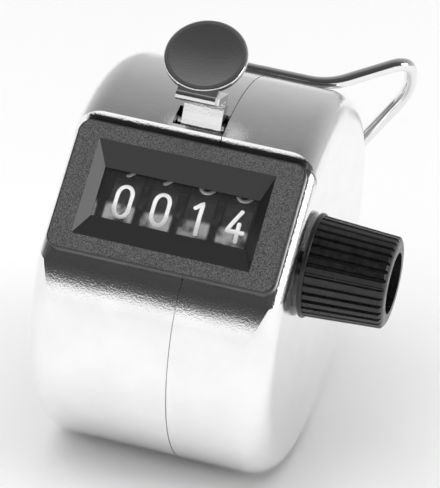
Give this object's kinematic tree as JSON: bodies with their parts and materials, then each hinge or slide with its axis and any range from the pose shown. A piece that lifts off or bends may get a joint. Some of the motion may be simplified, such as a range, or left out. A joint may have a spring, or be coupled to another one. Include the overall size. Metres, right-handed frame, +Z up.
{
  "type": "hand tally counter",
  "caption": "Hand-held tally counter: round chrome drum case with a framed number window, thumb lever on top, side reset knob and a wire finger ring at the back.",
  "frame": {"origin": "middle of the base plate's underside, below the drum's axis", "axes": "+X towards the reset knob along the drum's axis, +Y to the back, +Z up; the window faces forward and up"},
  "size_m": [0.0422, 0.0522, 0.0585],
  "materials": {
    "case_chrome": "polished chrome plate",
    "wire_chrome": "polished chrome plate",
    "lever_chrome": "polished chrome plate",
    "bezel_plastic": "fine grain, charcoal",
    "clear_lens": "clear, glossy",
    "knob_plastic": "semi-gloss black, ribbed",
    "wheel_plastic": "satin black",
    "pinion_plastic": "off-white",
    "steel": "zinc plated",
    "spring_steel": "drawn wire",
    "brass": "turned",
    "numeral_paint": "printed white"
  },
  "bodies": {
    "case": {"left_shell": "case_chrome", "right_shell": "case_chrome", "front_bezel": "bezel_plastic", "window_lens": "clear_lens", "base_plate": "case_chrome", "base_screw_1": "steel", "base_screw_2": "steel", "rear_clip_plate": "case_chrome", "clip_rivet_1": "steel", "clip_rivet_2": "steel", "finger_ring": "wire_chrome", "left_side_plate": "steel", "right_side_plate": "steel", "frame_post_1": "steel", "frame_post_2": "steel", "frame_post_3": "steel", "frame_post_4": "steel", "pinion_shaft": "steel", "pinion_spacer_left": "steel", "pinion_spacer_right": "steel", "shaft_spacer": "steel", "shaft_bush": "brass", "lever_pivot_pin": "steel", "lever_return_spring": "spring_steel", "detent_spring": "spring_steel", "detent_stud": "steel"},
    "lever": {"thumb_lever": "lever_chrome", "pawl_pin": "steel"},
    "pawl": {"feed_pawl": "steel"},
    "reset": {"number_shaft": "steel", "shaft_clip": "steel", "reset_knob": "knob_plastic", "knob_screw": "steel"},
    "units": {"wheel_units": "wheel_plastic", "ratchet_wheel": "brass"},
    "tens": {"wheel_tens": "wheel_plastic"},
    "hundreds": {"wheel_hundreds": "wheel_plastic"},
    "thousands": {"wheel_thousands": "wheel_plastic"},
    "pinion_tens": {"transfer_pinion_3": "pinion_plastic"},
    "pinion_hundreds": {"transfer_pinion_2": "pinion_plastic"},
    "pinion_thousands": {"transfer_pinion_1": "pinion_plastic"}
  },
  "joints": [
    {"name": "lever_press", "type": "hinge", "parent": "case", "child": "lever", "pos_m": [-0.0003, 0.009, 0.043], "axis": [1, 0, 0], "range_deg": [0, 10], "stiffness_Nm_per_rad": 0.02, "springref_deg": -57.3, "deforming": ["lever_return_spring"]},
    {"name": "pawl_swing", "type": "hinge", "parent": "lever", "child": "pawl", "pos_m": [0.01035, -0.0035, 0.0433], "axis": [1, 0, 0], "range_deg": [-10, 0]},
    {"name": "reset_turn", "type": "hinge", "parent": "case", "child": "reset", "pos_m": [0, -0.00898, 0.03185], "axis": [1, 0, 0], "continuous": true},
    {"name": "units_turn", "type": "hinge", "parent": "case", "child": "units", "pos_m": [0.00734, -0.00898, 0.03185], "axis": [1, 0, 0], "continuous": true},
    {"name": "tens_turn", "type": "hinge", "parent": "case", "child": "tens", "pos_m": [0.00255, -0.00898, 0.03185], "axis": [1, 0, 0], "continuous": true},
    {"name": "hundreds_turn", "type": "hinge", "parent": "case", "child": "hundreds", "pos_m": [-0.00224, -0.00898, 0.03185], "axis": [1, 0, 0], "continuous": true},
    {"name": "thousands_turn", "type": "hinge", "parent": "case", "child": "thousands", "pos_m": [-0.00703, -0.00898, 0.03185], "axis": [1, 0, 0], "continuous": true},
    {"name": "tens_pinion_turn", "type": "hinge", "parent": "case", "child": "pinion_tens", "pos_m": [0.0048, -0.01705, 0.02378], "axis": [1, 0, 0], "continuous": true},
    {"name": "hundreds_pinion_turn", "type": "hinge", "parent": "case", "child": "pinion_hundreds", "pos_m": [0.00001, -0.01705, 0.02378], "axis": [1, 0, 0], "continuous": true},
    {"name": "thousands_pinion_turn", "type": "hinge", "parent": "case", "child": "pinion_thousands", "pos_m": [-0.00478, -0.01705, 0.02378], "axis": [1, 0, 0], "continuous": true}
  ],
  "couplings": [
    {"joint": "pawl_swing", "follows": "lever_press", "ratio": -1},
    {"joint": "tens_turn", "follows": "units_turn", "ratio": 0.1},
    {"joint": "hundreds_turn", "follows": "units_turn", "ratio": 0.01},
    {"joint": "thousands_turn", "follows": "units_turn", "ratio": 0.001},
    {"joint": "tens_pinion_turn", "follows": "units_turn", "ratio": -0.25},
    {"joint": "hundreds_pinion_turn", "follows": "units_turn", "ratio": -0.025},
    {"joint": "thousands_pinion_turn", "follows": "units_turn", "ratio": -0.0025}
  ]
}
